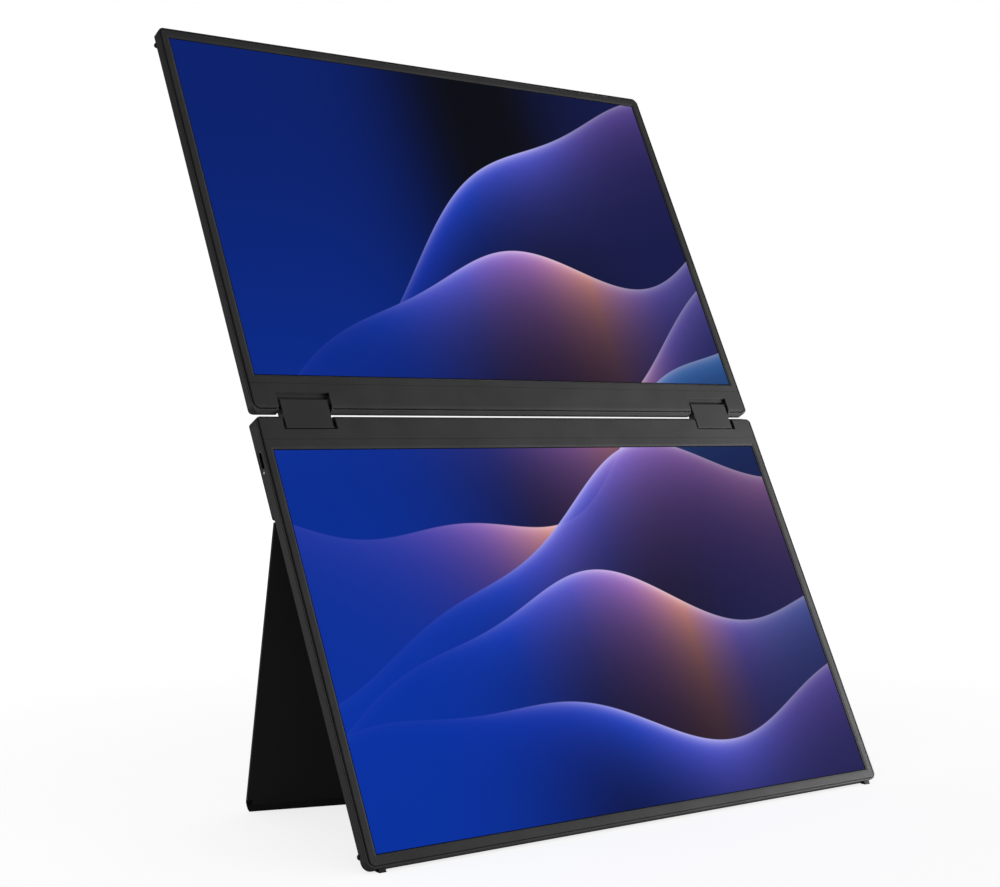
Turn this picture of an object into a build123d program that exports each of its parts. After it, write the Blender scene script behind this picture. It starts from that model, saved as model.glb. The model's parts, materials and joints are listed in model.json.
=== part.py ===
"""Foldable portable monitor: two hinged screens, two-axis hinges and a slanted kickstand.

Every piece is drawn upright, with the front face at y = 0, depth along +Y, and z = 0 midway between
the two panels. The whole object is then leaned back and set on its feet and its open kickstand.
"""
import os
from math import atan, cos, degrees, pi, radians, sin, tan

from build123d import *

# Screens: 14.0 inch panels, 16:10
screen_width = 301.6
screen_height = 188.5
screen_reveal = 0.4
screen_bevel = 1.0
screen_bevel_depth = 0.45
glass_overlap = 1.6
glass_thickness = 0.6
oled_margin = 1.2
oled_thickness = 0.7
plate_thickness = 0.5
seat_clearance = 0.1

# Panels
side_bezel = 5.7
outer_bezel = 5.9
upper_chin = 19.0
lower_chin = 17.8
upper_chin_cover = 14.2
lower_chin_cover = 12.4
panel_gap = 2.2
upper_thickness = 5.9
lower_thickness = 8.2
corner_radius = 4.2
front_edge_round = 0.7
back_edge_round = 1.6
upper_chin_round = 3.5
lower_chin_round = 2.5
upper_chin_back_round = 1.6
lower_chin_back_round = 3.0
lip_thickness = 0.6
frame_depth = 1.3
parting_gap = 0.35
seam_gap = 0.15
rim_wall = 0.75
rim_drop = 0.3
rim_round = 0.25
hinge_rim = 1.5
hinge_line_depth = 1.35
hinge_line_width = 0.3
hinge_line_height = 1.0
side_wall = 1.2
floor_wall = 0.9
post_diameter = 6.0

# Two-axis hinges
axis_distance = 8.6
axis_depth = 2.9
link_inset = 28.0
link_width = 25.2
link_end = 3.5
link_thickness = 4.6
link_edge_round = 0.9
link_cap_thickness = 1.2
notch_width = 28.4
upper_notch_depth = 9.7
upper_notch_back_depth = 8.2
lower_notch_depth = 7.4
notch_wall = 1.0
shaft_diameter = 2.2
running_clearance = 0.03
lug_thickness = 3.0
lug_clearance = 0.3
lug_reach = 1.7
bracket_plate = 1.0
bracket_width = 4.0
bracket_ledge = 1.4
washer_diameter = 2.7
washer_length = 1.6
shaft_tail = 0.6

# Timing gears inside each link
gear_teeth = 10
gear_width = 3.0
gear_side_clearance = 0.2
gear_tip_clearance = 0.15
tooth_addendum_share = 0.8
tooth_dedendum_share = 1.08
tooth_tip_share = 0.17
tooth_root_share = 0.52
idler_pin_diameter = 1.2
idler_pin_length = 0.9

# Kickstand on a slanted axis
lean_angle = 26.8
stand_slant = 20.0
stand_drop = 53.2
stand_thickness = 2.6
stand_floor_gap = 0.3
stand_step_gap = 3.1
stand_corner_radius = 8.0
stand_right_inset = 9.0
stand_side_gap = 0.6
stand_strip_height = 5.0
stand_pin_diameter = 1.4
stand_pin_grip = 8.0
stand_knuckle_length = 22.0
stand_knuckle_gap = 0.3
stand_knuckle_clearance = 0.05
stand_tongue_reach = 7.0
stand_tongue_thickness = 1.6
stand_knuckle_shares = (0.2, 0.8)

# Feet and bumpers
foot_height = 1.3
foot_depth = 2.6
foot_thickness = 3.0
foot_length = 3.4
foot_inset = 7.0
foot_spare = 2.5
bumper_diameter = 2.8
upper_bumper_height = 1.0
lower_bumper_height = 1.6
bumper_rim_round = 0.4
bumper_seat_depth = 0.8
bumper_side_inset = 1.2
bumper_end_inset = 7.0
bumper_pocket_gap = 0.4

# Boards, sockets and controls
driver_board_side_gap = 32.8
driver_board_height = 13.0
driver_board_thickness = 0.8
driver_board_drop = 6.0
main_board_thickness = 1.0
main_board_side_gap = 6.0
main_board_start = 16.5
main_board_left_height = 29.0
main_board_right_height = 56.0
main_board_step_share = 0.18
socket_depth = 4.2
socket_wall = 0.3
socket_inset = 0.25
socket_hole_gap = 0.15
usb_length = 8.94
usb_height = 3.26
usb_body_depth = 7.35
usb_tongue_width = 6.7
usb_tongue_thickness = 0.7
usb_tongue_length = 4.4
left_usb_drop = 22.6
right_usb_drop = 46.0
hdmi_length = 10.6
hdmi_height = 2.9
hdmi_body_depth = 7.5
hdmi_drop = 61.0
hdmi_tongue_width = 8.0
led_diameter = 1.2
led_length = 2.4
led_drop = 28.6
button_length = 10.0
button_height = 2.6
button_clearance = 0.2
button_flange = 0.8
button_flange_thickness = 0.7
button_travel = 0.5
button_drops = (22.0, 34.0)
switch_length = 6.0
switch_height = 2.8
switch_body = 3.2
switch_gap = 0.2

# Screws
screw_head_diameter = 2.4
screw_head_height = 0.45
screw_shank_diameter = 1.2
screw_shank_length = 1.5
screw_hole_clearance = 0.03

cut_over = 2.0

# Worked-out sizes
half_width = screen_width / 2 + side_bezel
half_gap = panel_gap / 2
link_offset = half_width - link_inset
half_axis = axis_distance / 2
glass_back = lip_thickness + glass_thickness
oled_back = glass_back + oled_thickness
plate_back = oled_back + plate_thickness
cover_front = frame_depth + parting_gap
rim_inset = rim_wall + parting_gap
front_half_width = half_width - rim_inset
front_corner_radius = corner_radius - rim_inset
upper_reach = half_gap + upper_chin + screen_height + outer_bezel
lower_reach = half_gap + lower_chin + screen_height + outer_bezel
ledge_depth = upper_thickness - floor_wall
recess_depth = lower_thickness - stand_thickness - stand_floor_gap
stand_axis_depth = lower_thickness - stand_thickness / 2
lean = radians(lean_angle)
slant = radians(stand_slant)
stand_open_angle = degrees(2 * atan(tan(lean) / cos(slant)))
stand_axis = Vector(cos(slant), 0, -sin(slant))
stand_up = Vector(sin(slant), 0, cos(slant))
stand_left_end = Vector(-half_width, stand_axis_depth, -stand_drop)
stand_axis_length = 2 * half_width / cos(slant)
stand_hinge_line = Axis(stand_left_end, stand_axis)
stand_right_end = half_width - stand_right_inset
ground_drop = lower_reach + foot_height
stand_reach = ground_drop + (foot_depth - stand_axis_depth) * tan(lean)


def slab(x_ends, y_ends, z_ends):
    """Block between two values on each axis."""
    size = [high - low for low, high in (x_ends, y_ends, z_ends)]
    middle = [(high + low) / 2 for low, high in (x_ends, y_ends, z_ends)]
    return Pos(*middle) * Box(*size)


def cylinder_x(radius, x_ends, y, z):
    """Round bar along X."""
    length = x_ends[1] - x_ends[0]
    return Pos((x_ends[0] + x_ends[1]) / 2, y, z) * Rot(0, 90, 0) * Cylinder(radius, length)


def cylinder_y(radius, y_ends, x, z):
    """Round bar along the depth."""
    length = y_ends[1] - y_ends[0]
    return Pos(x, (y_ends[0] + y_ends[1]) / 2, z) * Rot(90, 0, 0) * Cylinder(radius, length)


def rounded_rectangle(first, second, radii):
    """Rectangle from first to second corner, with a radius at each corner, anticlockwise from first."""
    width = second[0] - first[0]
    height = second[1] - first[1]
    middle = ((first[0] + second[0]) / 2, (first[1] + second[1]) / 2)
    shape = Pos(*middle) * Rectangle(width, height)
    corners = (first, (second[0], first[1]), second, (first[0], second[1]))
    for corner, radius in zip(corners, radii):
        if radius > 0:
            vertex = shape.vertices().sort_by_distance((*corner, 0))[0]
            shape = fillet(vertex, radius)
    return shape


def through_depth(sketch, y_ends):
    """Solid from a sketch of x and z, between two depths."""
    return extrude(Plane.XZ.offset(-y_ends[1]) * sketch, y_ends[1] - y_ends[0])


def across(sketch, half_length):
    """Solid from a sketch of y and z, over the width."""
    return extrude(Plane.YZ * sketch, half_length, both=True)


def ends(side, near, far):
    """The two z values of a stretch that runs from near to far, out from the hinge."""
    return (near, far) if side > 0 else (-far, -near)


def panel_block(side, half, near, far, y_ends, corners, side_rounds, hinge_rounds, outer_rounds):
    """Panel-shaped block; each pair of rounds is for its front and back edge."""
    z_ends = ends(side, near, far)
    near_corner, far_corner = corners
    low_corner, high_corner = (near_corner, far_corner) if side > 0 else (far_corner, near_corner)
    plan = rounded_rectangle(
        (-half, z_ends[0]), (half, z_ends[1]), (low_corner, low_corner, high_corner, high_corner)
    )
    low_rounds, high_rounds = (hinge_rounds, outer_rounds) if side > 0 else (outer_rounds, hinge_rounds)
    section = rounded_rectangle(
        (y_ends[0], z_ends[0]),
        (y_ends[1], z_ends[1]),
        (low_rounds[0], low_rounds[1], high_rounds[1], high_rounds[0]),
    )
    top = rounded_rectangle(
        (-half, y_ends[0]),
        (half, y_ends[1]),
        (side_rounds[0], side_rounds[0], side_rounds[1], side_rounds[1]),
    )
    block = through_depth(plan, y_ends) & across(section, half)
    return block & extrude(Plane.XY.offset(z_ends[0]) * top, z_ends[1] - z_ends[0])


def hinge_centres():
    """Middle of the left and of the right link."""
    return (-link_offset, link_offset)


def notch_cut(side, depth, grow):
    """Room for both links, grown by a wall."""
    near = -half_gap - cut_over
    cuts = []
    for centre in hinge_centres():
        half = notch_width / 2 + grow
        cuts.append(
            slab(
                (centre - half, centre + half),
                (-cut_over, lower_thickness + cut_over),
                ends(side, near, half_gap + depth + grow),
            )
        )
    return cuts


def screen_window(side, chin, grow, y_ends):
    """Block as large as the lit area, grown on all sides."""
    half = screen_width / 2 + grow
    near = half_gap + chin - grow
    return slab((-half, half), y_ends, ends(side, near, near + screen_height + 2 * grow))


def screen_stack(side, chin):
    """Cover glass, display panel and metal support plate."""
    glass_grow = screen_reveal + glass_overlap
    glass = screen_window(side, chin, glass_grow, (lip_thickness, glass_back))
    display = screen_window(side, chin, oled_margin, (glass_back, oled_back))
    plate = screen_window(side, chin, glass_grow, (oled_back, plate_back))
    return glass, display, plate


def bezel_frame(side, chin, chin_cover, reach):
    """Front ring round the screen, with a lip over the glass."""
    near = half_gap + chin_cover + seam_gap
    ring = panel_block(
        side,
        front_half_width,
        near,
        reach - rim_inset,
        (0, frame_depth),
        (0, front_corner_radius),
        (front_edge_round, 0),
        (0, 0),
        (front_edge_round, 0),
    )
    window = screen_window(side, chin, screen_reveal, (-cut_over, frame_depth + cut_over))
    pocket_grow = screen_reveal + glass_overlap + seat_clearance
    pocket = screen_window(side, chin, pocket_grow, (lip_thickness, frame_depth + cut_over))
    return ring - window - pocket - window_bevel(side, chin)


def window_bevel(side, chin):
    """Sloped cut along the front edge of a screen's window."""
    sections = []
    for depth, grow in (
        (-screen_bevel_depth, screen_reveal + 2 * screen_bevel),
        (screen_bevel_depth, screen_reveal),
    ):
        half = screen_width / 2 + grow
        near = half_gap + chin - grow
        z_ends = ends(side, near, near + screen_height + 2 * grow)
        outline = rounded_rectangle((-half, z_ends[0]), (half, z_ends[1]), (0, 0, 0, 0))
        sections.append(Plane.XZ.offset(-depth) * outline)
    return loft(sections, ruled=True)


def hinge_edge(side, thickness, front_round, back_round):
    """Panel section with its rounded edge at the hinge, over more than the whole width."""
    z_ends = ends(side, half_gap, half_gap + upper_reach + lower_reach)
    radii = (front_round, back_round, 0, 0) if side > 0 else (0, 0, back_round, front_round)
    section = rounded_rectangle((0, z_ends[0]), (thickness, z_ends[1]), radii)
    return across(section, half_width + cut_over)


def chin_cover_piece(side, chin_cover, notch_depth):
    """Front cover of the hinge zone, cut round the links; the upper one stops short of a rim."""
    hinge_inset = hinge_rim + parting_gap if side > 0 else 0
    piece = panel_block(
        side,
        front_half_width,
        half_gap + hinge_inset,
        half_gap + chin_cover,
        (0, frame_depth),
        (front_corner_radius, 0),
        (front_edge_round, 0),
        (0, 0),
        (0, 0),
    )
    piece &= upper_hinge_edge() if side > 0 else lower_hinge_edge()
    for cut in notch_cut(side, notch_depth, 0):
        piece -= cut
    return piece


def upper_hinge_edge():
    """Rounded hinge edge of the upper panel."""
    return hinge_edge(1, upper_thickness, upper_chin_round, upper_chin_back_round)


def lower_hinge_edge():
    """Rounded hinge edge of the lower panel."""
    return hinge_edge(-1, lower_thickness, lower_chin_round, lower_chin_back_round)


def shaft_slots(side):
    """Open slots in the notch walls, so that each shaft drops in from the front."""
    half = shaft_diameter / 2 + lug_clearance
    cuts = []
    for centre in hinge_centres():
        reach = notch_width / 2 + notch_wall + cut_over
        x_ends = (centre - reach, centre + reach)
        z_ends = ends(side, half_axis - half, half_axis + half)
        cuts.append(slab(x_ends, (0, axis_depth), z_ends))
        cuts.append(cylinder_x(half, x_ends, axis_depth, side * half_axis))
    return cuts


def screw_places(side, notch_depth):
    """Places of the two screws of each hinge bracket."""
    row = side * bracket_rows(notch_depth)[2]
    places = []
    for centre in hinge_centres():
        for hand in (-1, 1):
            places.append((centre + hand * notch_width / 4, row))
    return places


def bracket_rows(notch_depth):
    """Near edge, far edge and middle of a bracket's plate, out from the hinge."""
    near = half_gap + notch_depth + notch_wall + lug_clearance
    return near, near + bracket_width, near + bracket_width / 2


def posts(places, y_ends):
    """Round posts that carry a plate or a board."""
    return [cylinder_y(post_diameter / 2, y_ends, x, z) for x, z in places]


def plate_post_places(side, reach, chin):
    """Places of the posts behind the support plate."""
    rows = (half_gap + chin + screen_height / 2, reach - outer_bezel - post_diameter)
    columns = (-screen_width / 3, 0, screen_width / 3)
    return [(x, side * row) for x in columns for row in rows]


def front_pocket(side, reach, near, near_corner):
    """Room for the front pieces inside a back cover's rim."""
    return panel_block(
        side,
        half_width - rim_wall,
        near,
        reach - rim_wall,
        (-cut_over, cover_front),
        (near_corner, corner_radius - rim_wall),
        (0, 0),
        (0, 0),
        (0, 0),
    )


def back_cover_upper():
    """Tray behind the upper screen."""
    cover = panel_block(
        1,
        half_width,
        half_gap,
        upper_reach,
        (rim_drop, upper_thickness),
        (corner_radius, corner_radius),
        (rim_round, back_edge_round),
        (0, 0),
        (rim_round, back_edge_round),
    )
    cover &= upper_hinge_edge()
    cover -= front_pocket(1, upper_reach, half_gap + hinge_rim, corner_radius - rim_wall)
    inner_round = back_edge_round - floor_wall
    hollow = panel_block(
        1,
        half_width - side_wall,
        half_gap + side_wall,
        upper_reach - side_wall,
        (cover_front - cut_over, ledge_depth),
        (corner_radius - side_wall, corner_radius - side_wall),
        (0, inner_round),
        (0, 0),
        (0, inner_round),
    )
    for wall in notch_cut(1, upper_notch_depth, notch_wall):
        hollow -= wall
    for post in posts(plate_post_places(1, upper_reach, upper_chin), (plate_back, ledge_depth)):
        hollow -= post
    cover -= hollow
    for cut in notch_cut(1, upper_notch_back_depth, 0) + shaft_slots(1):
        cover -= cut
    for x, z in screw_places(1, upper_notch_depth):
        cover -= screw_hole(x, z, ledge_depth, bracket_plate)
    for seat in bumper_bars(upper_bumper_places(), upper_thickness, 0, bumper_pocket_gap):
        cover -= seat
    return cover - hinge_line()


def hinge_line():
    """Shallow parting line along the upper panel's hinge edge."""
    half = half_width - corner_radius
    return slab(
        (-half, half),
        (hinge_line_depth, hinge_line_depth + hinge_line_width),
        (half_gap - cut_over, half_gap + hinge_line_height),
    )


def screw_hole(x, z, seat, plate):
    """Blind hole under a plate that a screw holds down on a seat."""
    depth = screw_shank_length - plate
    radius = screw_shank_diameter / 2 + screw_hole_clearance
    return cylinder_y(radius, (seat - seat_clearance, seat + depth), x, z)


def screw(x, z, head_back):
    """Small pan-head screw, driven in from the front side."""
    head = cylinder_y(screw_head_diameter / 2, (head_back - screw_head_height, head_back), x, z)
    shank = cylinder_y(screw_shank_diameter / 2, (head_back, head_back + screw_shank_length), x, z)
    return head + shank


def stand_side(offset, y_ends):
    """Everything below the stand's axis line, moved up the slope by an offset."""
    left = stand_left_end - stand_axis * (half_width / 2) + stand_up * offset
    right = stand_left_end + stand_axis * (stand_axis_length + half_width / 2) + stand_up * offset
    low = -lower_reach - half_width
    outline = Polyline((left.X, left.Z), (right.X, right.Z), (right.X, low), (left.X, low), close=True)
    return through_depth(make_face(outline), y_ends)


def stand_recess():
    """Recess that the closed flap fills, open at the left and below."""
    y_ends = (recess_depth, lower_thickness + cut_over)
    reach = lower_reach + half_width
    room = slab((-reach, stand_right_end + stand_side_gap), y_ends, (-reach, reach))
    return stand_side(stand_step_gap, y_ends) & room


def socket_places():
    """Each socket: hand of the side wall, drop below the hinge, length, height."""
    return (
        (-1, left_usb_drop, usb_length, usb_height),
        (1, right_usb_drop, usb_length, usb_height),
        (1, hdmi_drop, hdmi_length, hdmi_height),
    )


def side_hole(hand, drop, length, height, rounding):
    """Hole through a side wall of the lower panel."""
    outline = rounded_rectangle(
        (socket_depth - height / 2, -drop - length / 2),
        (socket_depth + height / 2, -drop + length / 2),
        (rounding,) * 4,
    )
    start = hand * (half_width - side_wall) - hand * cut_over / 2
    return extrude(Plane.YZ.offset(start) * outline, hand * (side_wall + cut_over))


def main_board_outline():
    """Board corners, wide at the right where most sockets are."""
    half = half_width - side_wall - main_board_side_gap
    top = -main_board_start
    step = -half + 2 * half * main_board_step_share
    return (
        (-half, top),
        (half, top),
        (half, top - main_board_right_height),
        (step, top - main_board_left_height),
        (-half, top - main_board_left_height),
    )


def main_board_levels():
    """Front and back face of the main board."""
    front = socket_depth + usb_height / 2
    return front, front + main_board_thickness


def main_board_post_places():
    """Posts near the board's corners."""
    inset = post_diameter
    half = half_width - side_wall - main_board_side_gap - inset
    top = -main_board_start - inset
    return (
        (-half, top),
        (half, top),
        (half, -main_board_start - main_board_right_height + inset),
        (-half, -main_board_start - main_board_left_height + inset),
    )


def stand_block_centres():
    """Middle of each kickstand knuckle on the slanted axis."""
    return [stand_left_end + stand_axis * (stand_axis_length * share) for share in stand_knuckle_shares]


def stand_frame(centre):
    """Plane on the slanted axis: x along it, y up the slope, z towards the back."""
    return Plane(origin=centre, x_dir=stand_axis, z_dir=(0, -1, 0))


def stand_tongue(centre, grow):
    """Flat tongue that runs from a knuckle through the step wall into the bay."""
    back = lower_thickness - floor_wall - stand_knuckle_clearance - stand_axis_depth
    length = stand_step_gap + floor_wall + stand_tongue_reach + grow
    width = stand_knuckle_length - 2 * stand_knuckle_gap + 2 * grow
    thickness = stand_tongue_thickness + 2 * grow
    middle = back - stand_tongue_thickness / 2
    return stand_frame(centre) * Pos(0, length / 2, -middle) * Box(width, length, thickness)


def back_cover_lower():
    """Tray behind the lower screen: a thick bay above the kickstand's recess."""
    cover = panel_block(
        -1,
        half_width,
        half_gap,
        lower_reach,
        (rim_drop, lower_thickness),
        (corner_radius, corner_radius),
        (rim_round, back_edge_round),
        (0, 0),
        (rim_round, back_edge_round),
    )
    cover &= lower_hinge_edge()
    cover -= front_pocket(-1, lower_reach, half_gap - cut_over, 0)
    cover -= stand_recess()
    inner_half = half_width - side_wall
    shallow = panel_block(
        -1,
        inner_half,
        half_gap + side_wall,
        lower_reach - side_wall,
        (cover_front - cut_over, ledge_depth),
        (corner_radius - side_wall, corner_radius - side_wall),
        (0, 0),
        (0, 0),
        (0, 0),
    )
    bay_start = half_gap + lower_chin_cover + bracket_ledge
    bay = panel_block(
        -1,
        inner_half,
        bay_start,
        lower_reach - side_wall,
        (cover_front, lower_thickness - floor_wall),
        (0, corner_radius - side_wall),
        (0, back_edge_round - floor_wall),
        (0, 0),
        (0, 0),
    )
    bay -= stand_side(stand_step_gap + floor_wall, (0, lower_thickness + cut_over))
    hollow = shallow + bay
    for wall in notch_cut(-1, lower_notch_depth, notch_wall):
        hollow -= wall
    bay_floor = lower_thickness - floor_wall
    board_back = main_board_levels()[1]
    plate_posts = posts(plate_post_places(-1, lower_reach, lower_chin), (plate_back, bay_floor))
    for post in plate_posts + posts(main_board_post_places(), (board_back, bay_floor)):
        hollow -= post
    cover -= hollow
    for cut in notch_cut(-1, lower_notch_depth, 0) + shaft_slots(-1):
        cover -= cut
    for x, z in screw_places(-1, lower_notch_depth):
        cover -= screw_hole(x, z, ledge_depth, bracket_plate)
    for x, z in main_board_post_places():
        cover -= screw_hole(x, z, board_back, main_board_thickness)
    grow = 2 * socket_hole_gap
    for hand, drop, length, height in socket_places():
        rounding = (height + grow) / 2 - seat_clearance
        cover -= side_hole(hand, drop, length + grow, height + grow, rounding)
    for drop in button_drops:
        gap = 2 * button_clearance
        rounding = button_height / 2 - button_clearance
        cover -= side_hole(1, drop, button_length + gap, button_height + gap, rounding)
    cover -= led_bar(running_clearance, cut_over)
    for centre in stand_block_centres():
        cover -= stand_tongue(centre, stand_knuckle_clearance)
    for seat in bumper_bars(lower_bumper_places(), recess_depth, 0, bumper_pocket_gap):
        cover -= seat
    return cover


def led_bar(grow, over):
    """Light pipe of the status light in the left side wall."""
    x_ends = (-half_width - over, -half_width + led_length)
    return cylinder_x(led_diameter / 2 + grow, x_ends, socket_depth, -led_drop)


def hinge_bracket(side, centre, notch_depth):
    """Steel bracket: a plate with two lugs that hold a shaft."""
    near, far, _ = bracket_rows(notch_depth)
    lug_near = notch_width / 2 + notch_wall + lug_clearance
    lug_far = lug_near + lug_thickness
    plate = slab(
        (centre - lug_far, centre + lug_far),
        (ledge_depth - bracket_plate, ledge_depth),
        ends(side, near, far),
    )
    bracket = plate
    for hand in (-1, 1):
        x_ends = sorted((centre + hand * lug_near, centre + hand * lug_far))
        lug_edge = half_axis - lug_reach
        lug = slab(x_ends, (axis_depth, ledge_depth), ends(side, lug_edge, far))
        top = slab(x_ends, (cover_front, axis_depth), ends(side, lug_edge, half_axis + lug_reach))
        bracket += lug + top
    bore_ends = (centre - lug_far - cut_over, centre + lug_far + cut_over)
    bracket -= cylinder_x(shaft_diameter / 2, bore_ends, axis_depth, side * half_axis)
    for hand in (-1, 1):
        radius = screw_shank_diameter / 2 + screw_hole_clearance
        x = centre + hand * notch_width / 4
        row = side * (near + far) / 2
        bracket -= cylinder_y(radius, (ledge_depth - bracket_plate, ledge_depth), x, row)
    return bracket


def gear_outline(tooth_at_top):
    """Straight-sided gear outline about the origin."""
    pitch_radius = axis_distance / 6
    module = 2 * pitch_radius / gear_teeth
    tip = pitch_radius + module * tooth_addendum_share
    root = pitch_radius - module * tooth_dedendum_share
    step = 2 * pi / gear_teeth
    start = 0 if tooth_at_top else step / 2
    points = []
    for tooth in range(gear_teeth):
        middle = start + tooth * step
        for radius, offset_share in (
            (root, -tooth_root_share / 2),
            (tip, -tooth_tip_share / 2),
            (tip, tooth_tip_share / 2),
            (root, tooth_root_share / 2),
        ):
            angle = middle + offset_share * step
            points.append((radius * sin(angle), radius * cos(angle)))
    return make_face(Polyline(*points, close=True))


def gear_span(centre):
    """Ends of the gear pocket in a link, at its outer end."""
    hand = 1 if centre > 0 else -1
    outer = centre + hand * (link_width / 2 - link_cap_thickness)
    inner = outer - hand * (gear_width + 2 * gear_side_clearance)
    return hand, outer, inner


def gear(centre, z, tooth_at_top):
    """Timing gear in a link's pocket."""
    hand, outer, _ = gear_span(centre)
    start = outer - hand * gear_side_clearance
    plane = Plane(origin=(start, axis_depth, z), x_dir=(0, 1, 0), z_dir=(1, 0, 0))
    return extrude(plane * gear_outline(tooth_at_top), -hand * gear_width)


def hinge_shaft(side, centre):
    """Steel shaft with its timing gear."""
    reach = notch_width / 2 + notch_wall + lug_clearance + lug_thickness + washer_length + shaft_tail
    z = side * half_axis
    shaft = cylinder_x(shaft_diameter / 2, (centre - reach, centre + reach), axis_depth, z)
    return shaft + gear(centre, z, side < 0)


def idler(centre, z, tooth_at_top):
    """Idler gear with a stub pin at each end."""
    hand, outer, inner = gear_span(centre)
    reach_ends = sorted((outer + hand * idler_pin_length, inner - hand * idler_pin_length))
    return gear(centre, z, tooth_at_top) + cylinder_x(idler_pin_diameter / 2, reach_ends, axis_depth, z)


def hinge_washers(side):
    """Spring washer stacks outside the lugs of both shafts."""
    rings = []
    start = notch_width / 2 + notch_wall + lug_clearance + lug_thickness
    for centre in hinge_centres():
        for hand in (-1, 1):
            x_ends = sorted((centre + hand * start, centre + hand * (start + washer_length)))
            outer = cylinder_x(washer_diameter / 2, x_ends, axis_depth, side * half_axis)
            inner = cylinder_x(shaft_diameter / 2, x_ends, axis_depth, side * half_axis)
            rings.append(outer - inner)
    return rings


def link_section(grow):
    """Rounded section of a link in y and z."""
    half_length = half_axis + link_end + grow
    half_depth = link_thickness / 2 + grow
    return rounded_rectangle(
        (axis_depth - half_depth, -half_length),
        (axis_depth + half_depth, half_length),
        (link_edge_round,) * 4,
    )


def link_bores(x_ends):
    """Shaft bores of a link."""
    radius = shaft_diameter / 2 + running_clearance
    return [cylinder_x(radius, x_ends, axis_depth, side * half_axis) for side in (-1, 1)]


def idler_bores(x_ends):
    """Bores for the idlers' stub pins."""
    radius = idler_pin_diameter / 2 + running_clearance
    return [cylinder_x(radius, x_ends, axis_depth, side * half_axis / 3) for side in (-1, 1)]


def hinge_link(centre):
    """Link between the two axes, with a pocket for the gears at its outer end."""
    hand, outer, inner = gear_span(centre)
    far = centre - hand * link_width / 2
    low, high = sorted((outer, far))
    body = extrude(Plane.YZ.offset(low) * link_section(0), high - low)
    pitch_radius = axis_distance / 6
    module = 2 * pitch_radius / gear_teeth
    tip = pitch_radius + module * tooth_addendum_share + gear_tip_clearance
    pocket = Pos(axis_depth, 0) * SlotCenterToCenter(axis_distance, 2 * tip, rotation=90)
    body -= extrude(Plane.YZ.offset(inner) * pocket, outer - inner)
    bore_ends = (centre - link_width, centre + link_width)
    pin_ends = sorted((inner, inner - hand * (idler_pin_length + gear_side_clearance)))
    for bore in link_bores(bore_ends) + idler_bores(pin_ends):
        body -= bore
    return body


def link_cap(centre):
    """End cap that closes a link's gear pocket."""
    hand, outer, _ = gear_span(centre)
    far = outer + hand * link_cap_thickness
    low, high = sorted((outer, far))
    cap = extrude(Plane.YZ.offset(low) * link_section(0), high - low)
    pin_ends = sorted((outer, outer + hand * (idler_pin_length + gear_side_clearance)))
    for bore in link_bores((low - cut_over, high + cut_over)) + idler_bores(pin_ends):
        cap -= bore
    return cap


def socket_shell(hand, drop, length, height, depth, tongue_width):
    """Metal socket with a tongue, open to the side."""
    rounding = height / 2 - seat_clearance
    start = hand * (half_width - socket_inset)

    def ring(shrink, corner):
        return rounded_rectangle(
            (socket_depth - height / 2 + shrink, -drop - length / 2 + shrink),
            (socket_depth + height / 2 - shrink, -drop + length / 2 - shrink),
            (corner,) * 4,
        )

    shell = extrude(Plane.YZ.offset(start) * ring(0, rounding), -hand * depth)
    opening = ring(socket_wall, rounding - socket_wall)
    mouth = extrude(Plane.YZ.offset(start) * opening, -hand * (depth - side_wall))
    x_ends = sorted((start - hand * depth, start - hand * (depth - usb_tongue_length - side_wall)))
    tongue = slab(
        x_ends,
        (socket_depth - usb_tongue_thickness / 2, socket_depth + usb_tongue_thickness / 2),
        (-drop - tongue_width / 2, -drop + tongue_width / 2),
    )
    return shell - mouth + tongue


def side_button(drop):
    """Push button in the right side wall, with a flange behind the wall."""
    def outline(grow, rounding):
        return rounded_rectangle(
            (socket_depth - button_height / 2 - grow, -drop - button_length / 2 - grow),
            (socket_depth + button_height / 2 + grow, -drop + button_length / 2 + grow),
            (rounding,) * 4,
        )

    inside = half_width - side_wall - button_clearance
    face = outline(0, button_height / 2 - button_clearance)
    cap = extrude(Plane.YZ.offset(inside) * face, half_width - inside)
    flange = extrude(
        Plane.YZ.offset(inside) * outline(button_flange, button_flange), -button_flange_thickness
    )
    return cap + flange


def side_switch(drop):
    """Switch on the main board behind a side button."""
    flange_back = half_width - side_wall - button_clearance - button_flange_thickness
    front = flange_back - button_travel - switch_gap
    board_front = main_board_levels()[0]
    return slab(
        (front - switch_body, front),
        (board_front - switch_height, board_front),
        (-drop - switch_length / 2, -drop + switch_length / 2),
    )


def main_board():
    """Board in the bay, with screw holes at its posts."""
    board = through_depth(make_face(Polyline(*main_board_outline(), close=True)), main_board_levels())
    radius = screw_shank_diameter / 2 + screw_hole_clearance
    for x, z in main_board_post_places():
        board -= cylinder_y(radius, main_board_levels(), x, z)
    return board


def driver_board():
    """Display driver board on the floor of the upper cover."""
    start = half_gap + upper_chin + driver_board_drop
    half = screen_width / 2 - driver_board_side_gap
    y_ends = (ledge_depth - driver_board_thickness, ledge_depth)
    return slab((-half, half), y_ends, (start, start + driver_board_height))


def below_ground():
    """Everything under the surface that the leaning object stands on."""
    plane = Plane(
        origin=(0, foot_depth, -ground_drop), x_dir=(1, 0, 0), z_dir=(0, sin(lean), -cos(lean))
    )
    size = 2 * (upper_reach + lower_reach)
    return plane * Pos(0, 0, size / 2) * Box(size, size, size)


def rubber_feet():
    """Feet on the lower edge, cut flat where they stand."""
    feet = []
    for hand in (-1, 1):
        x = hand * (half_width - foot_inset)
        foot = slab(
            (x - foot_length / 2, x + foot_length / 2),
            (foot_depth - foot_thickness / 2, foot_depth + foot_thickness / 2),
            (-lower_reach - foot_height - foot_spare, -lower_reach),
        )
        feet.append(foot - below_ground())
    return feet


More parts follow.
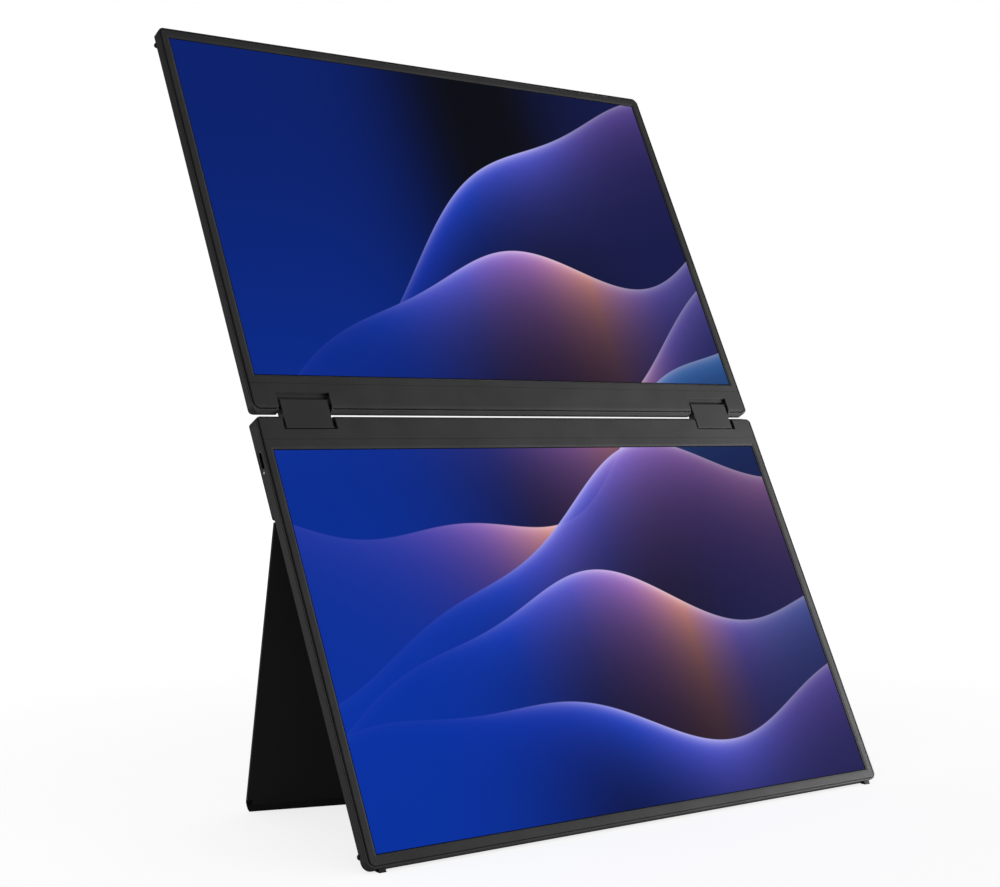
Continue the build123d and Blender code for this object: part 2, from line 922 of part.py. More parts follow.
def bumper_places(side, reach, right):
    """Rubber bumpers near the two outer corners of a panel's back."""
    z = side * (reach - bumper_end_inset)
    return [(-half_width + bumper_side_inset, z), (right, z)]


def upper_bumper_places():
    """Bumpers on the back of the upper panel."""
    return bumper_places(1, upper_reach, half_width - bumper_side_inset)


def lower_bumper_places():
    """Bumpers in the kickstand's recess."""
    return bumper_places(-1, lower_reach, stand_right_end - bumper_diameter)


def bumper_bars(places, back, height, over):
    """Round bars from a bumper's seat to its height above the back, and over it."""
    y_ends = (back - bumper_seat_depth, back + height + over)
    return [cylinder_y(bumper_diameter / 2, y_ends, x, z) for x, z in places]


def bumpers(places, back, height):
    """Low round bumpers, seated in a panel's back."""
    pads = []
    for pad in bumper_bars(places, back, height, 0):
        rim = pad.edges().filter_by(GeomType.CIRCLE).sort_by(Axis.Y)[-1]
        pads.append(fillet(rim, bumper_rim_round))
    return pads


def stand_outline(low, rounding):
    """Flap outline from the slanted axis down to a lower edge."""
    right_drop = stand_drop + (half_width + stand_right_end) * tan(slant)
    outline = make_face(
        Polyline(
            (-half_width, -stand_drop),
            (stand_right_end, -right_drop),
            (stand_right_end, low),
            (-half_width, low),
            close=True,
        )
    )
    if rounding > 0:
        lower = outline.vertices().group_by(Axis.Y)[0]
        outline = fillet(lower, rounding)
    return outline


def closed_flap(low, rounding):
    """Closed flap: a round upper edge about the axis, and pockets over the bumpers."""
    inner = lower_thickness - stand_thickness
    flap = through_depth(stand_outline(low, rounding), (inner, lower_thickness))
    middle = stand_left_end + stand_axis * (stand_axis_length / 2)
    along = Plane(origin=middle, x_dir=(0, 1, 0), z_dir=stand_axis)
    edge = along * Cylinder(stand_thickness / 2, stand_axis_length + 2 * half_width)
    low_end = -lower_reach - half_width
    width_slab = slab((-half_width, stand_right_end), (0, 2 * lower_thickness), (low_end, lower_reach))
    flap = (flap + edge) & width_slab
    for x, z in lower_bumper_places():
        radius = bumper_diameter / 2 + bumper_pocket_gap
        depth = recess_depth + lower_bumper_height + bumper_pocket_gap
        flap -= cylinder_y(radius, (inner - seat_clearance, depth), x, z)
    return flap


def knuckle_bar(centre, radius, length):
    """Round bar on the slanted axis."""
    return Plane(origin=centre, x_dir=(0, 1, 0), z_dir=stand_axis) * Cylinder(radius, length)


def kickstand_plate():
    """Flap of the kickstand, cut at the knuckles and above the rubber strip."""
    plate = closed_flap(-stand_reach - foot_spare, stand_corner_radius)
    plate -= strip_zone()
    for centre in stand_block_centres():
        radius = stand_thickness / 2 + stand_knuckle_gap
        plate -= stand_frame(centre) * Box(stand_knuckle_length, 2 * radius, 2 * stand_thickness)
        plate -= knuckle_bar(centre, stand_pin_diameter / 2, stand_knuckle_length + 2 * stand_pin_grip)
    return plate


def strip_zone():
    """Zone of the rubber strip along the flap's lower edge."""
    top = -stand_reach + stand_strip_height
    low = -stand_reach - foot_spare - cut_over
    return slab((-2 * half_width, 2 * half_width), (0, 2 * lower_thickness), (low, top))


def open_stand(piece):
    """Turn a piece of the closed kickstand to its open stop."""
    return piece.rotate(stand_hinge_line, stand_open_angle)


def kickstand_strip():
    """Rubber strip on the lower edge, cut flat where it stands."""
    strip = closed_flap(-stand_reach - foot_spare, stand_corner_radius) & strip_zone()
    return open_stand(strip) - below_ground()


def kickstand_pins():
    """Pins through the two knuckles."""
    length = stand_knuckle_length + 2 * stand_pin_grip
    return [knuckle_bar(centre, stand_pin_diameter / 2, length) for centre in stand_block_centres()]


def stand_hinge_block(centre):
    """Knuckle with a tongue that is held in the bay."""
    length = stand_knuckle_length - 2 * stand_knuckle_gap
    block = knuckle_bar(centre, stand_thickness / 2, length) + stand_tongue(centre, 0)
    return block - knuckle_bar(centre, stand_pin_diameter / 2 + running_clearance, length + cut_over)


def panel_pieces(prefix, side, chin, chin_cover, notch_depth, reach):
    """Pieces that both panels have."""
    glass, display, plate = screen_stack(side, chin)
    left, right = hinge_centres()
    return {
        prefix + "_bezel_frame": bezel_frame(side, chin, chin_cover, reach),
        prefix + "_chin_cover": chin_cover_piece(side, chin_cover, notch_depth),
        prefix + "_cover_glass": glass,
        prefix + "_oled_panel": display,
        prefix + "_support_plate": plate,
        prefix + "_hinge_bracket_left": hinge_bracket(side, left, notch_depth),
        prefix + "_hinge_bracket_right": hinge_bracket(side, right, notch_depth),
        prefix + "_hinge_shaft_left": hinge_shaft(side, left),
        prefix + "_hinge_shaft_right": hinge_shaft(side, right),
        prefix + "_hinge_washers": hinge_washers(side),
    }


def bracket_screws(side, notch_depth):
    """Screws that hold the hinge brackets down."""
    return [screw(x, z, ledge_depth - bracket_plate) for x, z in screw_places(side, notch_depth)]


def upright_pieces():
    """Every piece, before the object is leaned back."""
    left, right = hinge_centres()
    pieces = {"upper_back_cover": back_cover_upper(), "lower_back_cover": back_cover_lower()}
    for prefix, side, sizes in (
        ("upper", 1, (upper_chin, upper_chin_cover, upper_notch_depth, upper_reach)),
        ("lower", -1, (lower_chin, lower_chin_cover, lower_notch_depth, lower_reach)),
    ):
        pieces.update(panel_pieces(prefix, side, *sizes))
    pieces["upper_driver_board"] = driver_board()
    pieces["upper_rubber_bumpers"] = bumpers(
        upper_bumper_places(), upper_thickness, upper_bumper_height
    )
    pieces["upper_screws"] = bracket_screws(1, upper_notch_depth)
    pieces["main_board"] = main_board()
    for hand, drop, length, height in socket_places()[:2]:
        name = "usb_c_port_left" if hand < 0 else "usb_c_port_right"
        pieces[name] = socket_shell(hand, drop, length, height, usb_body_depth, usb_tongue_width)
    pieces["mini_hdmi_port"] = socket_shell(
        1, hdmi_drop, hdmi_length, hdmi_height, hdmi_body_depth, hdmi_tongue_width
    )
    pieces["status_led"] = led_bar(0, 0)
    pieces["button_switches"] = [side_switch(drop) for drop in button_drops]
    pieces["power_button"] = side_button(button_drops[0])
    pieces["menu_button"] = side_button(button_drops[1])
    pieces["rubber_feet"] = rubber_feet()
    pieces["lower_rubber_bumpers"] = bumpers(
        lower_bumper_places(), recess_depth, lower_bumper_height
    )
    board_front = main_board_levels()[0]
    board_screws = [screw(x, z, board_front) for x, z in main_board_post_places()]
    pieces["lower_screws"] = bracket_screws(-1, lower_notch_depth) + board_screws
    for name, centre in (("left", left), ("right", right)):
        pieces["hinge_link_" + name] = hinge_link(centre)
        pieces["hinge_link_cap_" + name] = link_cap(centre)
        pieces["lower_idler_gear_" + name] = idler(centre, -half_axis / 3, False)
        pieces["upper_idler_gear_" + name] = idler(centre, half_axis / 3, True)
    for name, centre in zip(("left", "right"), stand_block_centres()):
        pieces["stand_hinge_block_" + name] = stand_hinge_block(centre)
    pieces["kickstand_plate"] = open_stand(kickstand_plate())
    pieces["kickstand_foot_strip"] = kickstand_strip()
    pieces["kickstand_pins"] = kickstand_pins()
    return pieces


def solids_of(piece):
    """All separate solids of a piece."""
    members = piece if isinstance(piece, list) else [piece]
    return [solid for member in members for solid in member.solids()]


def leaning_place(boxes):
    """Location that leans the object back and centres it over the origin."""
    front = min(box.min.Y for box in boxes)
    back = max(box.max.Y for box in boxes)
    low = -(ground_drop * cos(lean) + foot_depth * sin(lean))
    return Pos(0, -(front + back) / 2, -low)


def build():
    """All pieces in their final place, by node name."""
    tilt = Rot(-lean_angle, 0, 0)
    tilted = {}
    for name, piece in upright_pieces().items():
        tilted[name] = Compound([tilt * solid for solid in solids_of(piece)])
    shift = leaning_place([shape.bounding_box() for shape in tilted.values()])
    return {name: shift * shape for name, shape in tilted.items()}, shift * tilt


if __name__ == "__main__":
    os.makedirs("parts", exist_ok=True)
    placed, _ = build()
    for name, shape in placed.items():
        members = shape.solids()
        export_step(members[0] if len(members) == 1 else shape, f"parts/{name}.step")
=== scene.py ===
"""Looks of a foldable portable monitor: materials, screen design, light and camera."""
import json
import math
from collections import namedtuple

import bmesh
import bpy
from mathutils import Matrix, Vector

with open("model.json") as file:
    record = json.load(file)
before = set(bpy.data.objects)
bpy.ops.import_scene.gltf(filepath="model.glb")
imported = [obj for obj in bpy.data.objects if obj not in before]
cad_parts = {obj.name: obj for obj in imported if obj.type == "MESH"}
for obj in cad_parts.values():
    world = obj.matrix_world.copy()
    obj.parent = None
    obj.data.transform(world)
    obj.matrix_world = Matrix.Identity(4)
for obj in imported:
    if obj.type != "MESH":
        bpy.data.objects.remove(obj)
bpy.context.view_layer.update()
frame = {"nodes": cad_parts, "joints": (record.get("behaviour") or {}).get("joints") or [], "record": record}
nodes = frame["nodes"]

# The panels' own frame: x across, y into the depth, z up the panels, from the middle of the hinges.
# Its origin lies ahead of the two hinge axes by their depth.
joints = {joint["name"]: joint for joint in frame["joints"]}
lower_axis = Vector(joints["fold_lower"]["pos_m"])
upper_axis = Vector(joints["fold_upper"]["pos_m"])
AXIS_DEPTH = 0.0029
PANEL_UP = (upper_axis - lower_axis).normalized()
PANEL_BACK = PANEL_UP.cross(Vector((1, 0, 0)))
PANEL_ORIGIN = (lower_axis + upper_axis) / 2 - PANEL_BACK * AXIS_DEPTH
LEAN = math.atan2(PANEL_UP.y, PANEL_UP.z)

# Lit areas of the two screens, in the panels' frame
SCREEN_HALF_WIDTH = 0.1508
SCREEN_HEIGHT = 0.1885
UPPER_SCREEN_START = 0.0201
LOWER_SCREEN_START = 0.0189
SCREEN_EDGE = 0.00012

# Half width at the sockets' mouths, and the depth of their steel rims; deeper in, the steel is painted near
# black as shade
SOCKET_MOUTH = 0.15625
SOCKET_RIM = 0.0007

CAMERA_PLACE = Vector((-0.5678, -0.7441, 0.1848))
CAMERA_AIM = Vector((0.6388, 0.7693, -0.0075))
FOCAL_PIXELS = 1833.8
SENSOR_WIDTH = 36.0
FRAME_WIDTH = 1000
CAMERA_SHIFT = -0.1
NEAR_CLIP = 0.01

# The floor brightens from one distance to the other. FLOOR_BOUNCE is the share of its glow that lights.
FLOOR_RADIUS = 9.0
FLOOR_SIDES = 96
BRIGHTENING_START = 0.25
BRIGHTENING_END = 1.3
FLOOR_GLOW = 0.80
FAR_FLOOR_GLOW = 0.97
FLOOR_BOUNCE = 0.12

# Strength of the surroundings as a light, level and overhead
LOW_FILL = 0.10
HIGH_FILL = 0.26

# Sockets of the mix node that carry colours
MIX_FIRST = 6
MIX_SECOND = 7
MIX_RESULT = 2

# How far roughness strays from its middle
PLASTIC_CLOUD = 0.025
COATING_CLOUD = 0.02
DRAWN_CLOUD = 0.08
GRAIN_CLOUD = 0.12

# How much of the lighter colour shows in grain, dust and painted glints
GRAIN_SHARE = 0.35
DUST_SHARE = 0.12
PAINTED_GLINT_SHARE = 0.3

# Noise per metre along each direction, for drawn lines and for smears on the glass
STEEL_LINES = (300, 2600, 2600)
SHEET_LINES = (40, 900, 1800)
GLASS_SMEARS = (60, 60, 25)


def linear(red, green, blue):
    """Linear colour of an 8-bit display colour, by the sRGB formula."""
    def channel(value):
        share = value / 255
        return share / 12.92 if share <= 0.04045 else ((share + 0.055) / 1.055) ** 2.4
    return (channel(red), channel(green), channel(blue), 1.0)


def grey(level):
    """Neutral linear colour."""
    return (level, level, level, 1.0)


def shade(colour, share):
    """Darker or lighter kin of a linear colour."""
    return tuple(share * value for value in colour[:3]) + (1.0,)


class Shader:
    """A node material with short calls for its nodes."""

    def __init__(self, name):
        self.material = bpy.data.materials.new(name)
        self.material.use_nodes = True
        self.tree = self.material.node_tree
        self.surface = next(n for n in self.tree.nodes if n.type == "BSDF_PRINCIPLED")

    def add(self, kind, **settings):
        node = self.tree.nodes.new(kind)
        for name, value in settings.items():
            setattr(node, name, value)
        return node

    def feed(self, socket, value):
        """Link a socket, or set it to a constant."""
        if isinstance(value, bpy.types.NodeSocket):
            self.tree.links.new(value, socket)
        else:
            socket.default_value = value

    def math(self, operation, first, second=0.0, third=0.0):
        node = self.add("ShaderNodeMath", operation=operation)
        for socket, value in zip(node.inputs, (first, second, third)):
            self.feed(socket, value)
        return node.outputs[0]

    def mix(self, share, first, second):
        """Colour between two colours, by the share of the second."""
        node = self.add("ShaderNodeMix", data_type="RGBA")
        self.feed(node.inputs["Factor"], share)
        self.feed(node.inputs[MIX_FIRST], first)
        self.feed(node.inputs[MIX_SECOND], second)
        return node.outputs[MIX_RESULT]

    def ramp(self, value, low, high, to_low=0.0, to_high=1.0):
        """Smooth passage from one number to another as a value goes from low to high."""
        node = self.add("ShaderNodeMapRange", interpolation_type="SMOOTHSTEP")
        for socket, number in zip(node.inputs, (value, low, high, to_low, to_high)):
            self.feed(socket, number)
        return node.outputs[0]

    def stray(self, noise, middle, reach):
        """A number that strays from its middle with a noise."""
        return self.ramp(noise, 0.25, 0.75, middle - reach, middle + reach)

    def colours(self, value, stops):
        """Colour along a run of display colours."""
        node = self.add("ShaderNodeValToRGB")
        run = node.color_ramp.elements
        for place, _ in stops[2:]:
            run.new(place)
        for stop, (place, colour) in zip(run, stops):
            stop.position = place
            stop.color = linear(*colour)
        self.feed(node.inputs[0], value)
        return node.outputs[0]

    def place(self, scale=None):
        """The piece's own coordinates in the panels' frame, stretched where a scale is given."""
        coordinates = self.add("ShaderNodeTexCoord")
        mapping = self.add("ShaderNodeMapping", vector_type="TEXTURE")
        mapping.inputs["Location"].default_value = PANEL_ORIGIN
        mapping.inputs["Rotation"].default_value = (-LEAN, 0, 0)
        self.tree.links.new(coordinates.outputs["Object"], mapping.inputs["Vector"])
        if scale is None:
            return mapping.outputs[0]
        stretched = self.add("ShaderNodeMapping")
        stretched.inputs["Scale"].default_value = scale
        self.tree.links.new(mapping.outputs[0], stretched.inputs["Vector"])
        return stretched.outputs[0]

    def place_parts(self):
        """Place across, into the depth and up the panels."""
        split = self.add("ShaderNodeSeparateXYZ")
        self.feed(split.inputs[0], self.place())
        return split.outputs

    def noise(self, vector, scale, detail, roughness):
        node = self.add("ShaderNodeTexNoise")
        self.feed(node.inputs["Vector"], vector)
        node.inputs["Scale"].default_value = scale
        node.inputs["Detail"].default_value = detail
        node.inputs["Roughness"].default_value = roughness
        return node.outputs[0]

    def bump(self, height, distance, strength):
        node = self.add("ShaderNodeBump")
        node.inputs["Distance"].default_value = distance
        node.inputs["Strength"].default_value = strength
        self.feed(node.inputs["Height"], height)
        return node.outputs[0]

    def finish(self, **inputs):
        """Set the surface's inputs, with spaces for underscores in their names."""
        for name, value in inputs.items():
            self.feed(self.surface.inputs[name.replace("_", " ")], value)
        return self.material


def moulded_plastic(name, colour, roughness, grain):
    """Dark moulded plastic: fine spark-eroded grain, faint cloudy sheen and a little dust."""
    shader = Shader(name)
    place = shader.place()
    fine = shader.noise(place, scale=grain, detail=3.0, roughness=0.65)
    broad = shader.noise(place, scale=42.0, detail=4.0, roughness=0.6)
    specks = shader.noise(place, scale=900.0, detail=1.0, roughness=0.4)
    base = shader.mix(shader.ramp(broad, 0.3, 0.7), shade(colour, 0.86), shade(colour, 1.12))
    grains = shader.math("MULTIPLY", shader.ramp(fine, 0.35, 0.75), GRAIN_SHARE)
    base = shader.mix(grains, base, shade(colour, 1.7))
    dust = shader.math("MULTIPLY", shader.ramp(specks, 0.72, 0.8), DUST_SHARE)
    base = shader.mix(dust, base, grey(0.2))
    pits = shader.math("MULTIPLY", shader.math("SUBTRACT", fine, 0.5), GRAIN_CLOUD)
    return shader.finish(
        Base_Color=base,
        Roughness=shader.math("ADD", shader.stray(broad, roughness, PLASTIC_CLOUD), pits),
        Normal=shader.bump(fine, distance=0.00005, strength=0.35),
        Specular_IOR_Level=0.42,
    )


def coated_metal(name, colour, roughness, shine):
    """Black blasted and coated metal, with painted glints as lighter specks on its blasted grain."""
    shader = Shader(name)
    place = shader.place()
    blast = shader.noise(place, scale=5200.0, detail=2.0, roughness=0.7)
    broad = shader.noise(place, scale=26.0, detail=3.0, roughness=0.5)
    base = shader.mix(shader.ramp(broad, 0.3, 0.7), shade(colour, 0.92), shade(colour, 1.08))
    # painted glints: lighter specks in the colour where the blast noise is highest
    painted_glints = shader.math("MULTIPLY", shader.ramp(blast, 0.55, 0.8), PAINTED_GLINT_SHARE)
    return shader.finish(
        Base_Color=shader.mix(painted_glints, base, shade(colour, 3.5)),
        Roughness=shader.stray(broad, roughness, COATING_CLOUD),
        Normal=shader.bump(blast, distance=0.00003, strength=0.4),
        Specular_IOR_Level=shine,
    )


def soft_rubber(name):
    """Matte black rubber with a fine speckle."""
    shader = Shader(name)
    place = shader.place()
    fine = shader.noise(place, scale=2600.0, detail=4.0, roughness=0.7)
    broad = shader.noise(place, scale=160.0, detail=3.0, roughness=0.5)
    return shader.finish(
        Base_Color=shader.mix(shader.ramp(fine, 0.35, 0.7), grey(0.010), (0.026, 0.026, 0.027, 1)),
        Roughness=shader.ramp(broad, 0.3, 0.7, 0.74, 0.92),
        Normal=shader.bump(fine, distance=0.00006, strength=0.5),
        Specular_IOR_Level=0.3,
    )


def brushed_metal(name, colour, stretch, roughness):
    """Metal with fine drawn lines along one direction."""
    shader = Shader(name)
    lines = shader.noise(shader.place(stretch), scale=1.0, detail=3.0, roughness=0.6)
    cloud = shader.noise(shader.place(), scale=300.0, detail=2.0, roughness=0.5)
    base = shader.mix(shader.ramp(lines, 0.3, 0.7), shade(colour, 0.72), colour)
    base = shader.mix(shader.ramp(cloud, 0.4, 0.8, 0.0, 0.25), base, shade(colour, 0.5))
    return shader.finish(
        Base_Color=base,
        Roughness=shader.stray(lines, roughness, DRAWN_CLOUD),
        Normal=shader.bump(lines, distance=0.00002, strength=0.3),
        Metallic=1.0,
    )


def socket_shell(name):
    """Socket whose steel shows only as a rim at its mouth; deeper in, its steel is painted near black as
    shade.
    """
    shader = Shader(name)
    x, _, _ = shader.place_parts()
    rim = shader.ramp(shader.math("ABSOLUTE", x), SOCKET_MOUTH - SOCKET_RIM, SOCKET_MOUTH)
    lines = shader.noise(shader.place(STEEL_LINES), scale=1.0, detail=3.0, roughness=0.6)
    steel = shader.mix(lines, (0.16, 0.16, 0.165, 1), (0.24, 0.24, 0.25, 1))
    # painted shade: the socket's steel past its rim, painted near black and not metallic
    painted_shade_inside = shader.mix(lines, grey(0.003), grey(0.006))
    return shader.finish(
        Base_Color=shader.mix(rim, painted_shade_inside, steel),
        Roughness=shader.ramp(lines, 0.25, 0.75, 0.36, 0.48),
        Normal=shader.bump(lines, distance=0.00002, strength=0.3),
        Metallic=rim,
    )


def circuit_board(name):
    """Green solder mask over fine copper tracks."""
    shader = Shader(name)
    tracks = shader.add("ShaderNodeTexBrick", offset=0.35, squash=1.0)
    shader.feed(tracks.inputs["Vector"], shader.place())
    tracks.inputs["Scale"].default_value = 260.0
    tracks.inputs["Color1"].default_value = (0.004, 0.055, 0.024, 1)
    tracks.inputs["Color2"].default_value = (0.006, 0.075, 0.03, 1)
    tracks.inputs["Mortar"].default_value = (0.05, 0.17, 0.05, 1)
    tracks.inputs["Mortar Size"].default_value = 0.03
    fine = shader.noise(shader.place(), scale=700.0, detail=2.0, roughness=0.5)
    return shader.finish(
        Base_Color=tracks.outputs["Color"],
        Roughness=shader.ramp(fine, 0.3, 0.7, 0.28, 0.42),
        Normal=shader.bump(tracks.outputs["Fac"], distance=0.00004, strength=0.3),
    )


def light_pipe(name):
    """Frosted pipe of the status light, faintly lit."""
    shader = Shader(name)
    cloud = shader.noise(shader.place(), scale=1800.0, detail=2.0, roughness=0.5)
    return shader.finish(
        Base_Color=shader.mix(cloud, (0.3, 0.31, 0.33, 1), (0.42, 0.43, 0.45, 1)),
        Roughness=shader.ramp(cloud, 0.3, 0.7, 0.3, 0.45),
        Emission_Color=(0.92, 0.96, 1.0, 1.0),
        Emission_Strength=shader.ramp(cloud, 0.2, 0.8, 0.14, 0.24),
    )


# Colours that the screen design runs through, with their places on the run
DESIGN_COLOURS = (
    (0.00, (4, 44, 190)),
    (0.24, (40, 84, 238)),
    (0.42, (110, 110, 246)),
    (0.58, (196, 136, 224)),
    (0.70, (246, 164, 150)),
    (0.80, (150, 126, 240)),
    (1.00, (84, 166, 255)),
)

# Other colours of the screen design
LOW_BLUE = linear(0, 50, 164)
HIGH_BLUE = linear(2, 30, 108)
NIGHT = linear(0, 2, 12)
WAVE_NIGHT = linear(1, 2, 16)
WAVE_BODY = linear(2, 4, 40)
WAVE_RIM = linear(255, 246, 255)
RIGHT_HAZE = linear(14, 24, 84)

# Waves of the screen design from the back, with the stretch of the colour run that each one takes
Sine = namedtuple("Sine", "size count start")
Wave = namedtuple("Wave", "slope height long_sine short_sine run_start run_length")
WAVES = (
    Wave(0.50, 0.112, Sine(0.034, 15.0, 0.4), Sine(0.010, 37.0, 1.7), -0.05, 0.55),
    Wave(0.42, 0.066, Sine(0.030, 17.0, 2.2), Sine(0.008, 41.0, 0.3), 0.12, 0.70),
    Wave(0.36, 0.018, Sine(0.028, 18.5, 3.6), Sine(0.007, 39.0, 2.5), 0.20, 0.62),
    Wave(0.30, -0.026, Sine(0.030, 17.0, 5.0), Sine(0.008, 44.0, 4.0), 0.42, 0.60),
    Wave(0.24, -0.070, Sine(0.030, 16.0, 0.6), Sine(0.008, 40.0, 5.3), 0.10, 0.52),
    Wave(0.18, -0.116, Sine(0.026, 17.5, 2.0), Sine(0.007, 43.0, 0.8), 0.02, 0.86),
    Wave(0.12, -0.160, Sine(0.024, 16.5, 3.3), Sine(0.006, 42.0, 2.0), -0.02, 0.50),
)

# Widths over which a wave's rim, glow and body fade below its line, and over which its edge softens
RIM_WIDTH = 0.0020
GLOW_WIDTH = 0.0110
BODY_WIDTH = 0.0340
EDGE_WIDTH = 0.0006
GLOW_SHARE = 0.7
WAVE_COVER = 0.94


def design_wave(shader, wave, x, z, across):
    """Colour of one wave and where it covers what lies behind it."""
    line = shader.math("MULTIPLY_ADD", x, wave.slope, wave.height)
    for sine in (wave.long_sine, wave.short_sine):
        swing = shader.math("SINE", shader.math("MULTIPLY_ADD", x, sine.count, sine.start))
        line = shader.math("MULTIPLY_ADD", swing, sine.size, line)
    depth = shader.math("SUBTRACT", line, z)

    def fade(width):
        return shader.math("POWER", math.e, shader.math("DIVIDE", depth, -width))

    run = shader.math("MULTIPLY_ADD", across, wave.run_length, wave.run_start)
    hue = shader.colours(run, DESIGN_COLOURS)
    colour = shader.mix(fade(BODY_WIDTH), WAVE_NIGHT, shader.mix(0.62, hue, WAVE_BODY))
    colour = shader.mix(shader.math("MULTIPLY", fade(GLOW_WIDTH), GLOW_SHARE), colour, hue)
    rim = shader.math("MULTIPLY", fade(RIM_WIDTH), shader.ramp(across, 0.05, 0.7, 0.1, 0.9))
    colour = shader.mix(rim, colour, shader.mix(0.55, hue, WAVE_RIM))
    return colour, shader.ramp(depth, 0.0, EDGE_WIDTH, 0.0, WAVE_COVER)


def lit_area(shader, x, z):
    """One inside the two lit areas, zero outside."""
    side = shader.math("ABSOLUTE", x)
    inner = shader.ramp(side, SCREEN_HALF_WIDTH - SCREEN_EDGE, SCREEN_HALF_WIDTH, 1.0, 0.0)
    areas = []
    for start, sign in ((UPPER_SCREEN_START, 1.0), (LOWER_SCREEN_START, -1.0)):
        height = shader.math("MULTIPLY", z, sign)
        end = start + SCREEN_HEIGHT
        low = shader.ramp(height, start, start + SCREEN_EDGE)
        high = shader.ramp(height, end - SCREEN_EDGE, end, 1.0, 0.0)
        areas.append(shader.math("MULTIPLY", low, high))
    return shader.math("MULTIPLY", shader.math("ADD", *areas), inner)


def screen_glass(name):
    """Glossy cover glass with the lit design of soft layered waves behind it."""
    shader = Shader(name)
    x, _, z = shader.place_parts()
    across = shader.ramp(x, -SCREEN_HALF_WIDTH, SCREEN_HALF_WIDTH)
    blue = shader.mix(shader.ramp(z, -SCREEN_HEIGHT, SCREEN_HEIGHT), LOW_BLUE, HIGH_BLUE)
    picture = shader.mix(shader.ramp(across, 0.0, 0.6), blue, NIGHT)
    for wave in WAVES:
        colour, cover = design_wave(shader, wave, x, z, across)
        picture = shader.mix(cover, picture, colour)
    picture = shader.mix(shader.ramp(across, 0.0, 0.5, 0.88, 0.0), picture, blue)
    picture = shader.mix(shader.ramp(across, 0.72, 1.0, 0.0, 0.6), picture, RIGHT_HAZE)
    smear = shader.noise(shader.place(GLASS_SMEARS), scale=1.0, detail=4.0, roughness=0.55)
    return shader.finish(
        Base_Color=(0.0015, 0.0015, 0.002, 1.0),
        Roughness=shader.ramp(smear, 0.3, 0.75, 0.07, 0.13),
        Specular_IOR_Level=0.1,
        Emission_Color=picture,
        Emission_Strength=lit_area(shader, x, z),
    )


glass = screen_glass("screen_glass")
finishes = {
    "housing": moulded_plastic("housing_plastic", (0.024, 0.024, 0.0246, 1), roughness=0.50, grain=2600.0),
    "cover_glass": glass,
    "display": glass,
    "plate_metal": brushed_metal("sheet_metal", (0.6, 0.6, 0.62, 1), SHEET_LINES, roughness=0.38),
    "circuit_board": circuit_board("circuit_board"),
    # The stand's coating is darker than the housing and the link, partly its own coat and partly painted
    # shade for its shaded inner face.
    "stand_metal": coated_metal("stand_coating", (0.012, 0.012, 0.0123, 1), roughness=0.56, shine=0.34),
    "link_metal": coated_metal("link_coating", (0.024, 0.024, 0.025, 1), roughness=0.46, shine=0.42),
    "rubber": soft_rubber("rubber"),
    "button": moulded_plastic("button_plastic", (0.024, 0.024, 0.025, 1), roughness=0.4, grain=3400.0),
    "switch": moulded_plastic("switch_plastic", grey(0.03), roughness=0.35, grain=3000.0),
    "light_pipe": light_pipe("light_pipe"),
    "socket_steel": socket_shell("socket_steel"),
    "hinge_steel": brushed_metal("hinge_steel", (0.07, 0.07, 0.074, 1), STEEL_LINES, roughness=0.42),
}
for part in frame["record"]["subparts"]:
    mesh = nodes[part["node"]].data
    mesh.materials.clear()
    mesh.materials.append(finishes[part["material_slot"]])


def area_light(name, place, aim, size, power, mirrored=True):
    """Soft rectangular studio light, which glossy surfaces may mirror."""
    data = bpy.data.lights.new(name, "AREA")
    data.shape = "RECTANGLE"
    data.size, data.size_y = size
    data.energy = power
    lamp = bpy.data.objects.new(name, data)
    lamp.visible_camera = False
    lamp.visible_glossy = mirrored
    bpy.context.scene.collection.objects.link(lamp)
    lamp.location = place
    lamp.rotation_euler = (Vector(aim) - Vector(place)).to_track_quat("-Z", "Y").to_euler()
    return lamp


def keep_off(lamp, lit):
    """Keep a lamp's light off one object."""
    receivers = bpy.data.collections.new(lamp.name + "_receivers")
    receivers.objects.link(lit)
    lamp.light_linking.receiver_collection = receivers
    receivers.collection_objects[0].light_linking.link_state = "EXCLUDE"


def floor_paint():
    """Pale paint that glows to the eye, a little more far out, and lights the object only faintly."""
    shader = Shader("floor_paint")
    coordinates = shader.add("ShaderNodeTexCoord")
    distance = shader.add("ShaderNodeVectorMath", operation="LENGTH")
    shader.feed(distance.inputs[0], coordinates.outputs["Object"])
    reach = distance.outputs["Value"]
    cloud = shader.noise(shader.place(), scale=3.0, detail=3.0, roughness=0.5)
    glow = shader.ramp(reach, BRIGHTENING_START, BRIGHTENING_END, FLOOR_GLOW, FAR_FLOOR_GLOW)
    seen = shader.add("ShaderNodeLightPath").outputs["Is Camera Ray"]
    return shader.finish(
        Base_Color=shader.mix(cloud, grey(0.80), grey(0.83)),
        Roughness=0.8,
        Specular_IOR_Level=0.1,
        Emission_Color=grey(1.0),
        Emission_Strength=shader.math("MULTIPLY", glow, shader.ramp(seen, 0.0, 1.0, FLOOR_BOUNCE, 1.0)),
    )


def floor():
    """Plain pale floor that runs into the white behind it."""
    mesh = bpy.data.meshes.new("floor")
    shape = bmesh.new()
    bmesh.ops.create_circle(shape, cap_ends=True, segments=FLOOR_SIDES, radius=FLOOR_RADIUS)
    shape.to_mesh(mesh)
    shape.free()
    disc = bpy.data.objects.new("floor", mesh)
    bpy.context.scene.collection.objects.link(disc)
    mesh.materials.append(floor_paint())
    return disc


